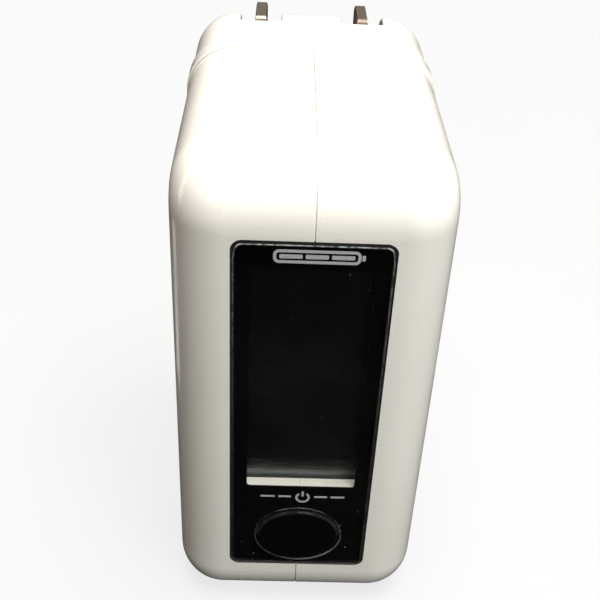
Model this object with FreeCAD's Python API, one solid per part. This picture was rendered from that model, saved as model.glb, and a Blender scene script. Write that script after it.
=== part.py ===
import FreeCAD, Part

import math
import os

from FreeCAD import Vector

# Pocket power bank with a folding two-blade wall plug, a display window and a power button.
#
# Millimetres. X is the width, with the parting plane of the two front shells at X = 0. The window faces -Y
# and the plug +Y. Z is up, and the flat base rests at Z = 0 under the middle of the case.
# Every piece is its own solid, written to parts/NAME.step, with the plug folded and the button released.

# ---------------------------------------------------------------- driving dimensions
WIDTH, DEPTH, HEIGHT = 29.1, 46.5, 61.5
EDGE_R = 5.5  # outside rounding of the case edges
TOP_R = 7.4  # larger rounding of the top front edge
WALL = 1.8
FRONT_WALL = 2.45  # the window pocket is sunk into it
FRONT_LENGTH = 29.5  # length of the two front shells along Y
CLEAR = 0.05  # fitting clearance between separate pieces

HALF = WIDTH / 2
FRONT, BACK = -DEPTH / 2, DEPTH / 2
JOINT_Y = FRONT + FRONT_LENGTH  # where the front shells meet the rear cover
INNER_HALF = HALF - WALL
INNER_FRONT = FRONT + FRONT_WALL
INNER_BACK = BACK - WALL
INNER_R = EDGE_R - WALL

# bead round the front rim of the rear cover
BEAD_H, BEAD_W = 0.28, 3.5
# spigot of the front shells inside the rear cover
SPIGOT_L, SPIGOT_T = 3.0, 0.85
# groove along the parting line
SEAM_W, SEAM_DEPTH, SEAM_GAP = 0.14, 0.12, 0.02

# window panel in the front face
PANEL_W, PANEL_Z0, PANEL_Z1 = 16.2, 7.05, 53.6
PANEL_T, PANEL_R, PANEL_SUNK = 1.0, 1.1, 0.02
PANEL_BEVEL_W, PANEL_BEVEL_T = 0.35, 0.12  # sloping rim of the panel: across the face, and into it
TAPE_T = 0.15
POCKET_Y = FRONT + PANEL_SUNK + PANEL_T + TAPE_T
# clear view in the printed border, and how far the opening in the shell passes it at the sides and the top
VIEW_W, VIEW_Z0, VIEW_Z1 = 12.5, 19.8, 50.1
VIEW_HIDDEN = 0.3

# power button, an ellipse with its long axis along X
BUTTON_A, BUTTON_B, BUTTON_Z = 4.87, 4.0, 12.05
BUTTON_GAP = 0.2  # round the cap, in the panel
SHELL_GAP = 0.35  # round the cap, in the border and the shell
FLANGE_T = 0.7

# display and the control board behind it
GLASS_T = 0.55
GLASS_HALF = 7.3
BOARD_T = 1.0
CONTROL_Y = INNER_FRONT + 3.0  # front face of the control board
CONTROL_HALF = 11.3
CONTROL_POSTS = [(sx * 9.8, z) for sx in (-1, 1) for z in (8.5, 55.0)]
LCD_Y = INNER_FRONT + CLEAR  # front face of the display glass
GLASS_Z0, GLASS_LEDGE, GLASS_Z1 = 18.95, 21.2, 51.5
SWITCH_TIP = CONTROL_Y - 1.9  # the plunger travels 0.4 from here
SWITCH_TOP = CONTROL_Y - 1.25

# battery pack of two pouch cells
CELL_HALF, CELL_Z0, CELL_Z1 = 11.3, 9.2, 52.0
CELL_T, CELL_TAPE_T = 7.8, 0.3
CELL_Y = -13.7

# power board
POWER_Y, POWER_T = 6.1, 1.2
POWER_BACK = POWER_Y + POWER_T
POWER_POSTS = [(sx * x, z) for sx in (-1, 1) for x, z in ((10.0, 32.0), (8.0, 55.0))]

# socket for the charging cable, mouth down
USB_HALF, USB_Y0, USB_T = 6.55, POWER_BACK + 0.1, 5.7
USB_Z0, USB_L, USB_WALL = 1.0, 14.0, 0.3
TONGUE_HALF, TONGUE_T, TONGUE_Z0 = 5.5, 1.8, 2.3

# folding plug: flat blades 12.7 apart
BLADE_PITCH = 12.7
BLADE_T, BLADE_W = 1.5, 6.35
BLADE_OUT = 17.0  # blade length past the back face when unfolded
SLOT_W, SLOT_DEPTH, SLOT_R = 5.1, 7.1, 0.5
TIP_PROUD = 0.3  # how far the folded tips stand above the top face
PIVOT_Y = BACK - 3.7
BLADE_REACH = BLADE_OUT + (BACK - PIVOT_Y)
PIVOT_Z = HEIGHT + TIP_PROUD - BLADE_REACH
SHAFT_R, HUB_R, HUB_W = 2.2, 3.3, 4.8
SHAFT_HALF = 11.3
TANG_R, TANG_W = 4.15, 2.4
TIP_R, BEVEL_H, BEVEL_IN = 0.8, 0.7, 0.15  # corner rounding of the blade tip, and the bevel of its faces
TROUGH_WALL = 1.2
TROUGH_FRONT = BACK - SLOT_DEPTH - TROUGH_WALL
RETAINER_Y, RETAINER_T = TROUGH_FRONT - 0.2 - 2.0, 2.0
RETAINER_POSTS = [(0, PIVOT_Z + 8.5), (0, PIVOT_Z - 8.5)]
LEAF_Y = PIVOT_Y - SHAFT_R - 0.35  # the detent spring stands just clear of the shaft
SPRING_TOP = PIVOT_Z + 6.0

# screws
CASE_SCREW_X, CASE_SCREW_Z = 9.4, 6.6
CASE_SCREWS = [(sx * CASE_SCREW_X, CASE_SCREW_Z) for sx in (-1, 1)]
PILOT_R = 0.8
SMALL_PILOT_R = 0.6

parts = {}
chip_pins = []


# ---------------------------------------------------------------- building blocks
def box(x0, x1, y0, y1, z0, z1):
    return Part.makeBox(x1 - x0, y1 - y0, z1 - z0, Vector(x0, y0, z0))


def cyl_x(y, z, r, x0, x1):
    return Part.makeCylinder(r, x1 - x0, Vector(x0, y, z), Vector(1, 0, 0))


def cyl_y(x, z, r, y0, y1):
    return Part.makeCylinder(r, y1 - y0, Vector(x, y0, z), Vector(0, 1, 0))


def cyl_z(x, y, r, z0, z1):
    return Part.makeCylinder(r, z1 - z0, Vector(x, y, z0), Vector(0, 0, 1))


def round_box(x0, x1, y0, y1, z0, z1, r):
    """Box with every edge rounded."""
    b = box(x0, x1, y0, y1, z0, z1)
    return b.makeFillet(r, b.Edges)


def edges_along(shape, axis):
    """Straight edges of a shape parallel to an axis (0, 1 or 2)."""
    found = []
    for e in shape.Edges:
        d = e.Vertexes[-1].Point - e.Vertexes[0].Point
        if d.Length > 1e-6 and abs(abs(d[axis]) - d.Length) < 1e-6:
            found.append(e)
    return found


def round_edges(shape):
    """Circular edges of a turned shape."""
    return [e for e in shape.Edges if isinstance(e.Curve, Part.Circle)]


def plate(x0, x1, y0, y1, z0, z1, r):
    """Box with its four edges along Y rounded: a rounded rectangle facing the front."""
    b = box(x0, x1, y0, y1, z0, z1)
    return b.makeFillet(r, edges_along(b, 1))


def oval(a, b, y0, y1, z):
    """Elliptical prism along Y, semi-axes a along X and b along Z."""
    curve = Part.Ellipse(Vector(a, y0, z), Vector(0, y0, z + b), Vector(0, y0, z))
    face = Part.Face(Part.Wire(curve.toShape()))
    return face.extrude(Vector(0, y1 - y0, 0))


def union(shapes):
    shapes = list(shapes)
    return shapes[0].multiFuse(shapes[1:]).removeSplitter() if len(shapes) > 1 else shapes[0]


def mirror_x(shape):
    return shape.mirror(Vector(0, 0, 0), Vector(1, 0, 0))


def screw(x, seat_y, z, length, r, head_r, head_h, forward=True):
    """Pan-head screw with a cross recess, driven along -Y (forward) from a seat at seat_y."""
    s = -1 if forward else 1
    shank = cyl_y(x, z, r, min(seat_y, seat_y + s * length), max(seat_y, seat_y + s * length))
    head = cyl_y(x, z, head_r, min(seat_y, seat_y - s * head_h), max(seat_y, seat_y - s * head_h))
    outer = seat_y - s * head_h
    near = outer - 1e-6, outer + 1e-6
    rim = [e for e in head.Edges if e.BoundBox.YMin > near[0] and e.BoundBox.YMax < near[1]]
    head = head.makeFillet(head_h * 0.45, rim)
    y0, y1 = sorted((outer + s * head_h * 0.6, outer - s * 1.0))
    arm, thick = head_r * 0.62, head_r * 0.14
    cross = box(x - arm, x + arm, y0, y1, z - thick, z + thick).fuse(
        box(x - thick, x + thick, y0, y1, z - arm, z + arm)
    )
    return head.fuse(shank).removeSplitter().cut(cross)


def wire(points, r, bend=1.2):
    """Round insulated wire: straight runs between the points, joined by bends of one radius."""
    pts = [Vector(*p) for p in points]
    edges, last = [], pts[0]
    for before, corner, after in zip(pts, pts[1:], pts[2:]):
        a = (corner - before).normalize()
        b = (after - corner).normalize()
        half_turn = a.getAngle(b) / 2
        start = corner - a * bend * math.tan(half_turn)
        end = corner + b * bend * math.tan(half_turn)
        inward = (b - a).normalize()
        middle = corner + inward * bend * (1 / math.cos(half_turn) - 1)
        edges += [Part.makeLine(last, start), Part.Arc(start, middle, end).toShape()]
        last = end
    edges.append(Part.makeLine(last, pts[-1]))
    ring = Part.Wire(Part.makeCircle(r, pts[0], pts[1] - pts[0]))
    return Part.Wire(edges).makePipeShell([ring], True, False)


# ---------------------------------------------------------------- case
def edges_at(shape, y, z):
    """The edges that lie on one line along X."""
    return [e for e in shape.Edges if all(abs(v.Y - y) < 1e-6 and abs(v.Z - z) < 1e-6 for v in e.Vertexes)]


def case_form(inset, back):
    """The rounded outside of the case, drawn in by inset and running back to a plane across Y."""
    form = box(-HALF + inset, HALF - inset, FRONT + inset, back, inset, HEIGHT - inset)
    form = form.makeFillet(TOP_R - inset, edges_at(form, FRONT + inset, HEIGHT - inset))
    smooth = edges_at(form, FRONT + TOP_R, HEIGHT - inset) + edges_at(form, FRONT + inset, HEIGHT - TOP_R)
    sharp = [e for e in form.Edges if not any(e.isSame(s) for s in smooth)]
    return form.makeFillet(EDGE_R - inset, sharp)


def case_outer():
    return case_form(0, BACK)


def case_inner():
    return round_box(-INNER_HALF, INNER_HALF, INNER_FRONT, INNER_BACK, WALL, HEIGHT - WALL, INNER_R)


def collar(inset, y0, y1):
    """Prism of the case cross-section, drawn in by inset, between two stations along Y."""
    r = EDGE_R - inset
    return plate(-HALF + inset, HALF - inset, y0, y1, inset, HEIGHT - inset, r)


def ahead(y):
    """Everything on the window side of a plane across Y."""
    return box(-20, 20, -30, y, -5, 70)


def behind(y):
    """Everything on the plug side of a plane across Y."""
    return box(-20, 20, y, 40, -5, 70)


# the spigot is broken here for the socket
USB_KEEP = box(-7.6, 7.6, JOINT_Y - 5, JOINT_Y + 6, -1, WALL + 0.2)


def snap_tabs():
    """Tabs on the left shell that reach behind the right one's wall, and the recesses for their nubs."""
    tabs, catches = [], []
    for y in (-12.0, 0.0):
        for wall_z, inward in ((HEIGHT - WALL, -1), (WALL, 1)):

            def slab(x0, x1, half_length, near, far):
                """Slab between two distances inward of the wall's inner face."""
                z0, z1 = sorted((wall_z + inward * near, wall_z + inward * far))
                return box(x0, x1, y - half_length, y + half_length, z0, z1)

            tabs.append(slab(-3.5, 2.6, 3, CLEAR, 1.4))
            tabs.append(slab(-3.5, -0.5, 3, -0.3, 1.4))
            tabs.append(slab(1.3, 2.0, 2, -0.35, CLEAR + 0.1))
            catches.append(slab(1.2, 2.1, 2.1, -0.45, 0.1))
    return union(tabs), catches


def front_spigot():
    """Thin rim of the front shells that enters the rear cover."""
    spigot = collar(WALL - SPIGOT_T, JOINT_Y - 1, JOINT_Y + SPIGOT_L)
    return spigot.cut(USB_KEEP.common(behind(JOINT_Y)))


def front_cavity():
    """Hollow of the front shells, leaving the board posts and the screw bosses with their ribs."""
    keep = [cyl_y(x, z, 1.75, INNER_FRONT - 1, CONTROL_Y) for x, z in CONTROL_POSTS]
    for x, z in CASE_SCREWS:
        keep.append(cyl_y(x, z, 2.3, JOINT_Y - 9.2, JOINT_Y - 0.1))
        keep.append(box(x - 0.6, x + 0.6, JOINT_Y - 9.2, JOINT_Y - 0.1, WALL - 0.5, z))
    return case_inner().cut(union(keep))


def front_openings():
    """Window pocket, view opening, button hole and pilot holes."""
    half = PANEL_W / 2 + CLEAR
    view_half = VIEW_W / 2 + VIEW_HIDDEN
    y0, y1 = FRONT - 1, INNER_FRONT + 1
    cuts = [
        plate(-half, half, y0, POCKET_Y, PANEL_Z0 - CLEAR, PANEL_Z1 + CLEAR, PANEL_R),
        plate(-view_half, view_half, y0, y1, VIEW_Z0, VIEW_Z1 + VIEW_HIDDEN, 0.4),
        oval(BUTTON_A + SHELL_GAP, BUTTON_B + SHELL_GAP, y0, y1, BUTTON_Z),
    ]
    cuts += [cyl_y(x, z, SMALL_PILOT_R, CONTROL_Y - 3.2, CONTROL_Y + 1) for x, z in CONTROL_POSTS]
    cuts += [cyl_y(x, z, PILOT_R, JOINT_Y - 8.5, JOINT_Y + 1) for x, z in CASE_SCREWS]
    return cuts


def seam_groove():
    """Shallow groove round the outside, along the parting plane."""
    d = SEAM_DEPTH
    slab = box(-SEAM_W / 2, SEAM_W / 2, FRONT - 1, JOINT_Y, -1, HEIGHT + 1)
    return slab.cut(case_form(d, 60))


def front_shells():
    """Left and right halves of the front of the case."""
    solid = case_outer().common(ahead(JOINT_Y)).fuse(front_spigot()).removeSplitter()
    solid = solid.cut(front_cavity()).cut(behind(JOINT_Y + SPIGOT_L))
    for cut in front_openings():
        solid = solid.cut(cut)
    solid = solid.cut(seam_groove())
    tabs, catches = snap_tabs()
    left = solid.common(box(-20, -SEAM_GAP / 2, -30, 30, -5, 70))
    parts["left_shell"] = left.fuse(tabs).removeSplitter()
    right = solid.common(box(SEAM_GAP / 2, 20, -30, 30, -5, 70))
    for catch in catches:
        right = right.cut(catch)
    parts["right_shell"] = right


def slot_box(side):
    """Channel for one folded blade, open to the top and the back of the case."""
    xc = side * BLADE_PITCH / 2
    w = SLOT_W / 2
    y0, z0 = BACK - SLOT_DEPTH, PIVOT_Z - 3.4
    slot = box(xc - w, xc + w, y0, BACK + 8, z0, HEIGHT + 8)
    inner = [e for e in edges_along(slot, 2) if e.BoundBox.YMax < y0 + 1e-3]
    inner += [e for e in edges_along(slot, 1) if e.BoundBox.ZMax < z0 + 1e-3]
    floor = [e for e in edges_along(slot, 0) if e.BoundBox.ZMax < z0 + 1e-3]
    inner += [e for e in floor if e.BoundBox.YMax < y0 + 1e-3]
    return slot.makeFillet(SLOT_R, inner)


def slot_rim(shape, outer):
    """Edges where the blade channels meet the outside of the case."""
    skin = Part.makeCompound(outer.Faces)
    w = SLOT_W / 2 + 1e-3
    rim = []
    for e in shape.Edges:
        mid = e.valueAt((e.FirstParameter + e.LastParameter) / 2)
        in_slot = abs(abs(mid.x) - BLADE_PITCH / 2) < w and mid.y > BACK - SLOT_DEPTH - 1e-3
        if in_slot and mid.z > PIVOT_Z - 3.5 and skin.distToShape(Part.Vertex(mid))[0] < 1e-4:
            rim.append(e)
    return rim


def rear_outside():
    """Outside of the rear cover: its bead and the blade channels with eased rims."""
    start = JOINT_Y + CLEAR
    outer = case_outer().common(behind(start))
    bead = collar(-BEAD_H, start, start + BEAD_W)
    rims = [e for e in bead.Edges if abs(e.BoundBox.YMax - e.BoundBox.YMin) < 1e-6]
    bead = bead.makeFillet(BEAD_H * 0.9, rims).common(box(-20, 20, -30, 40, 0, 70))
    solid = outer.fuse(bead).removeSplitter()
    for side in (-1, 1):
        solid = solid.cut(slot_box(side))
    return solid.makeFillet(0.35, slot_rim(solid, outer))


def hook_tongue(start, top):
    """Tongue at the top of the rear cover, from start along Y and up to top."""
    return box(-4, 4, start, JOINT_Y + 6, HEIGHT - WALL - 1.7, top)


def rear_cavity():
    """Hollow of the rear cover, leaving channel walls, screw posts and ribs, with a step for the spigot."""
    half = SLOT_W / 2 + TROUGH_WALL
    centres = (-BLADE_PITCH / 2, BLADE_PITCH / 2)
    keep = [box(xc - half, xc + half, TROUGH_FRONT, BACK, PIVOT_Z - 5.7, HEIGHT) for xc in centres]
    keep += [cyl_y(x, z, 2.7, JOINT_Y + 0.3, BACK) for x, z in CASE_SCREWS]
    keep += [cyl_y(x, z, 1.8, POWER_BACK, BACK) for x, z in POWER_POSTS]
    keep += [cyl_y(x, z, 2.2, RETAINER_Y + RETAINER_T, BACK) for x, z in RETAINER_POSTS]
    keep += [box(x - 1.6, x + 1.6, POWER_BACK + 2, BACK, 31.4, 32.6) for x in (-11.4, 11.4)]
    keep.append(hook_tongue(JOINT_Y - 2.7, HEIGHT - WALL - CLEAR))
    step = collar(WALL - SPIGOT_T - CLEAR, JOINT_Y - 1, JOINT_Y + SPIGOT_L + CLEAR).cut(USB_KEEP)
    return case_inner().common(behind(JOINT_Y - 1)).fuse(step).cut(union(keep))


def pivot_seat(side):
    """Room for one blade's tang and hub, and the shaft's seats in the channel walls, open to the front."""
    xc = side * BLADE_PITCH / 2
    x0, x1 = xc - SLOT_W / 2, xc + SLOT_W / 2
    w = SLOT_W / 2 + TROUGH_WALL + 0.1
    r = SHAFT_R + CLEAR
    sweep = cyl_x(PIVOT_Y, PIVOT_Z, TANG_R + 0.35, x0, x1)
    return [
        sweep.common(box(-20, 20, 0, PIVOT_Y + 1.6, 0, 70)),
        box(x0, x1, TROUGH_FRONT - 1, PIVOT_Y, PIVOT_Z - 4.5, PIVOT_Z + 4.5),
        box(xc - w, xc + w, TROUGH_FRONT - 1, PIVOT_Y, PIVOT_Z - r, PIVOT_Z + r),
    ]


def socket_mouth():
    g = 0.15
    mouth = box(-USB_HALF - g, USB_HALF + g, USB_Y0 - g, USB_Y0 + USB_T + g, -1, WALL + 1)
    return mouth.makeFillet(0.4, edges_along(mouth, 2))


def rear_cover():
    """Rear cover: bead, blade channels, pivot seats, screw wells, board posts and the socket mouth."""
    solid = rear_outside().cut(rear_cavity())
    root = hook_tongue(JOINT_Y + SPIGOT_L + 0.3, HEIGHT - WALL + 0.3)
    solid = solid.fuse(hook_tongue(JOINT_Y - 2.7, HEIGHT - WALL - CLEAR)).fuse(root).removeSplitter()
    cuts = pivot_seat(-1) + pivot_seat(1)
    cuts.append(cyl_x(PIVOT_Y, PIVOT_Z, SHAFT_R + CLEAR, -SHAFT_HALF - 0.2, SHAFT_HALF + 0.2))
    for x, z in CASE_SCREWS:
        cuts.append(cyl_y(x, z, 2.1, JOINT_Y + 2.0, BACK + 2))
        cuts.append(cyl_y(x, z, PILOT_R + 0.3, JOINT_Y - 1, BACK))
    cuts += [cyl_y(x, z, SMALL_PILOT_R, POWER_BACK - 1, POWER_BACK + 5.0) for x, z in POWER_POSTS]
    cuts += [cyl_y(x, z, PILOT_R, RETAINER_Y, RETAINER_Y + RETAINER_T + 5.0) for x, z in RETAINER_POSTS]
    for cut in cuts + [socket_mouth()]:
        solid = solid.cut(cut)
    parts["rear_cover"] = solid


# ---------------------------------------------------------------- front panel, button and switch
def bevelled_plate(half, y, z0, z1, r):
    """Panel blank from y backwards, with a shallow bevel sloping back to its rim."""
    w, t = PANEL_BEVEL_W, PANEL_BEVEL_T
    body = plate(-half, half, y + t, y + PANEL_T, z0, z1, r)
    foot = plate(-half, half, y + t - 1, y + t, z0, z1, r)
    top = plate(-half + w, half - w, y, y + 1, z0 + w, z1 - w, r - w)
    outlines = [
        [f.OuterWire for f in foot.Faces if f.BoundBox.YMin > y + t - 1e-6][0],
        [f.OuterWire for f in top.Faces if f.BoundBox.YMax < y + 1e-6][0],
    ]
    return body.fuse(Part.makeLoft(outlines, True, True)).removeSplitter()


def front_panel():
    """Clear panel with a bevelled rim and an eased button hole, and the printed border stuck behind it."""
    y = FRONT + PANEL_SUNK
    half = PANEL_W / 2
    panel = bevelled_plate(half, y, PANEL_Z0, PANEL_Z1, PANEL_R)
    panel = panel.cut(oval(BUTTON_A + BUTTON_GAP, BUTTON_B + BUTTON_GAP, y - 1, y + 3, BUTTON_Z))
    curved = [e for e in panel.Edges if not isinstance(e.Curve, (Part.Line, Part.Circle))]
    lip = [e for e in curved if e.BoundBox.YMax < y + 1e-3]
    parts["window_panel"] = panel.makeChamfer(0.12, lip)

    y += PANEL_T
    half, inset = PANEL_W / 2 - 0.1, 0.1
    border = plate(-half, half, y, y + TAPE_T, PANEL_Z0 + inset, PANEL_Z1 - inset, PANEL_R - inset)
    border = border.cut(plate(-VIEW_W / 2, VIEW_W / 2, y - 1, y + 1, VIEW_Z0 + 0.05, VIEW_Z1, 0.4))
    hole = oval(BUTTON_A + SHELL_GAP, BUTTON_B + SHELL_GAP, y - 1, y + 1, BUTTON_Z)
    parts["window_mask"] = border.cut(hole)


def power_button():
    """Oval cap with a rounded rim, a flange that stops behind the case wall, and a stem on the switch."""
    y = FRONT + PANEL_SUNK - 0.05
    flange_y = INNER_FRONT + CLEAR
    cap = oval(BUTTON_A, BUTTON_B, y, flange_y, BUTTON_Z)
    rim = [e for e in cap.Edges if e.BoundBox.YMax < y + 1e-3]
    cap = cap.makeFillet(0.4, rim)
    flange = oval(BUTTON_A + 0.9, BUTTON_B + 0.7, flange_y, flange_y + FLANGE_T, BUTTON_Z)
    stem = cyl_y(0, BUTTON_Z, 1.5, flange_y, SWITCH_TIP)
    parts["power_button"] = union([cap, flange, stem])


def switch():
    well = CONTROL_Y - 0.4
    body = plate(-2.6, 2.6, SWITCH_TOP, CONTROL_Y, BUTTON_Z - 2.6, BUTTON_Z + 2.6, 0.3)
    parts["switch_body"] = body.cut(cyl_y(0, BUTTON_Z, 1.06, SWITCH_TOP - 1, well))
    lid = plate(-2.5, 2.5, SWITCH_TOP - 0.15, SWITCH_TOP, BUTTON_Z - 2.5, BUTTON_Z + 2.5, 0.3)
    parts["switch_cover"] = lid.cut(cyl_y(0, BUTTON_Z, 1.25, SWITCH_TOP - 1, SWITCH_TOP + 1))
    plunger = cyl_y(0, BUTTON_Z, 1.0, SWITCH_TIP, well - 0.5)
    tip = [e for e in plunger.Edges if e.BoundBox.YMax < SWITCH_TIP + 1e-6]
    parts["switch_plunger"] = plunger.makeFillet(0.15, tip)
    spots = [(x, BUTTON_Z + dz) for x in (-3.0, 3.0) for dz in (-1.8, 1.8)]
    legs = [box(x - 0.4, x + 0.4, CONTROL_Y - 0.25, CONTROL_Y, z - 0.4, z + 0.4) for x, z in spots]
    parts["switch_terminals"] = Part.makeCompound(legs)


# ---------------------------------------------------------------- display
def display():
    """Two-layer glass whose rear layer stands out below as the contact ledge, in a frame over a backlight."""
    y0, y1 = LCD_Y, CONTROL_Y - CLEAR
    half, t = GLASS_HALF, GLASS_T
    frame = plate(-8.4, 8.4, y0, y1, GLASS_Z0 - 1.0, GLASS_Z1 + 0.9, 0.8)
    opening = box(-half - 0.1, half + 0.1, y0 - 1, y1 + 1, GLASS_Z0 - 0.1, GLASS_Z1 + 0.1)
    parts["display_frame"] = frame.cut(opening)
    parts["display_front_glass"] = box(-half, half, y0, y0 + t, GLASS_LEDGE, GLASS_Z1)
    parts["display_rear_glass"] = box(-half, half, y0 + t, y0 + 2 * t, GLASS_Z0, GLASS_Z1)
    parts["display_backlight"] = plate(-half, half, y0 + 2 * t, y1, GLASS_LEDGE, GLASS_Z1, 0.3)
    z0, z1 = GLASS_Z0 + 0.2, GLASS_LEDGE - 0.4
    parts["display_connector"] = plate(-6.5, 6.5, y0 + 2 * t, CONTROL_Y, z0, z1, 0.3)


# ---------------------------------------------------------------- control board
def chip(x, z, w, h, t, y, pins, pitch, pin_len=0.7):
    """Flat package on a board facing +Y, with gull-wing pins along its two Z ends: body and pins apart."""
    body = plate(x - w / 2, x + w / 2, y + 0.08, y + t, z - h / 2, z + h / 2, 0.15)
    feet = []
    for side in (-1, 1):
        for i in range(pins):
            px = x + (i - (pins - 1) / 2) * pitch
            z0, z1 = sorted((z + side * h / 2, z + side * (h / 2 + pin_len)))
            feet.append(box(px - pitch * 0.25, px + pitch * 0.25, y, y + 0.2, z0, z1))
    return body, feet


def control_board():
    hole_r = 0.9
    board = plate(-CONTROL_HALF, CONTROL_HALF, CONTROL_Y, CONTROL_Y + BOARD_T, 4.2, 57.3, 1.6)
    for x, z in CONTROL_POSTS:
        board = board.cut(cyl_y(x, z, hole_r, CONTROL_Y - 1, CONTROL_Y + 2))
    parts["control_board"] = board
    y = CONTROL_Y + BOARD_T
    mcu, mcu_pins = chip(0, 38, 7.0, 6.0, 1.1, y, 10, 0.65)
    boost, boost_pins = chip(-4.5, 13.5, 4.8, 3.8, 1.3, y, 4, 1.1)
    parts["control_chip"] = mcu
    parts["boost_chip"] = boost
    chip_pins.extend(mcu_pins + boost_pins)
    base = plate(2.2, 8.2, y, y + 2.4, 10.5, 16.5, 1.0)
    top = [e for e in base.Edges if e.BoundBox.YMin > y + 2.4 - 1e-6]
    parts["boost_inductor"] = base.makeFillet(0.4, top)
    spots = [(-8, 20), (-5.5, 20), (-3, 20), (6, 22), (8.5, 22), (-8, 46), (-5.5, 46), (5, 46), (7.5, 46)]
    small = [plate(x - 0.6, x + 0.6, y, y + 0.8, z - 1.0, z + 1.0, 0.1) for x, z in spots]
    parts["chip_capacitors"] = Part.makeCompound(small)
    spots = [(-8, 28), (-6, 28), (-4, 28), (4, 28), (6, 28), (8, 28), (-8, 34), (8, 34)]
    small = [plate(x - 0.4, x + 0.4, y, y + 0.45, z - 0.8, z + 0.8, 0.08) for x, z in spots]
    parts["chip_resistors"] = Part.makeCompound(small)
    heads = [screw(x, y, z, 3.9, SMALL_PILOT_R, 1.5, 1.0) for x, z in CONTROL_POSTS]
    parts["control_board_screws"] = Part.makeCompound(heads)


# ---------------------------------------------------------------- battery
def battery():
    rear_y = CELL_Y + CELL_T + CELL_TAPE_T
    for name, y in (("front_cell", CELL_Y), ("rear_cell", rear_y)):
        parts[name] = round_box(-CELL_HALF, CELL_HALF, y, y + CELL_T, CELL_Z0, CELL_Z1, 1.2)
    tape_y = CELL_Y + CELL_T
    parts["cell_tape"] = box(-9, 9, tape_y, rear_y, CELL_Z0 + 4, CELL_Z1 - 4)
    pad = box(CELL_HALF + 0.02, INNER_HALF - CLEAR, CELL_Y + 2, rear_y + CELL_T - 2, 15, 46)
    parts["foam_pads"] = Part.makeCompound([mirror_x(pad), pad])
    mid = tape_y + CELL_TAPE_T / 2
    tab_z = CELL_Z1 + 0.02
    spots = [(x, mid + dy) for x in (-5, 5) for dy in (-3, 3)]
    tabs = [box(x - 1.5, x + 1.5, y - 2.2, y + 2.2, tab_z, tab_z + 0.5) for x, y in spots]
    parts["cell_tabs"] = Part.makeCompound(tabs)
    board_z = tab_z + 0.5
    card = box(-8.5, 8.5, mid - 5.5, mid + 5.5, board_z, board_z + 0.8)
    parts["protection_board"] = card.makeFillet(1.0, edges_along(card, 2))
    z = board_z + 0.8
    chips = [box(x - 1.5, x + 1.5, mid - 1.6, mid + 1.6, z, z + 1.0) for x in (-2.6, 2.6)]
    parts["protection_chips"] = Part.makeCompound(chips)
    sheet_y = rear_y + CELL_T + 0.5
    parts["insulation_sheet"] = plate(-12.0, 12.0, sheet_y, sheet_y + 0.4, 9.2, 53.5, 1.5)
    end_y = CONTROL_Y + BOARD_T
    for name, x in (("battery_lead_red", -6.4), ("battery_lead_black", 6.4)):
        parts[name] = wire([(x, mid, z), (x, mid, z + 2.2), (x, end_y, z + 2.2)], 0.55)


# ---------------------------------------------------------------- power board
def capacitor(x, z, r, y0, y1):
    """Can capacitor standing on the board along +Y, with a crimp groove near its foot and an eased top."""
    can = cyl_y(x, z, r, y0, y1)
    can = can.makeFillet(0.3, round_edges(can))
    groove = Part.makeTorus(r + 0.25, 0.55, Vector(x, y0 + 1.6, z), Vector(0, 1, 0))
    return can.cut(groove)


def power_board():
    z0, z1 = 9.6, 57.0
    board = plate(-CONTROL_HALF, CONTROL_HALF, POWER_Y, POWER_BACK, z0, z1, 1.2)
    for x, z in POWER_POSTS:
        board = board.cut(cyl_y(x, z, 0.9, POWER_Y - 1, POWER_BACK + 1))
    parts["power_board"] = board
    heads = [screw(x, POWER_Y, z, 5.6, SMALL_PILOT_R, 1.5, 1.0, forward=False) for x, z in POWER_POSTS]
    parts["power_board_screws"] = Part.makeCompound(heads)

    y = POWER_BACK
    caps = [capacitor(9.2, z, 2.8, y + 0.05, y + 11.0) for z in (20.8, 27.1)]
    parts["input_capacitors"] = Part.makeCompound(caps)
    parts["output_capacitor"] = capacitor(-9.6, 14.2, 2.7, y + 0.05, y + 8.5)
    fuse = cyl_z(-10.2, y + 2.0, 1.5, 20.0, 28.6)
    parts["fuse_resistor"] = fuse.makeFillet(0.6, round_edges(fuse))
    parts["bridge_rectifier"] = plate(-8.2, -2.2, y, y + 2.4, 47.0, 51.6, 0.3)
    pwm, pwm_pins = chip(7.2, 49.0, 5.0, 4.0, 1.6, y, 4, 1.27)
    parts["power_chip"] = pwm
    chip_pins.extend(pwm_pins)
    parts["isolator_chip"] = plate(6.8, 11.2, y, y + 3.2, 38.4, 44.6, 0.3)
    disc = cyl_y(-8.0, 42.4, 3.2, y + 0.4, y + 3.2)
    parts["safety_capacitor"] = disc.makeFillet(1.2, round_edges(disc))


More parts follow.
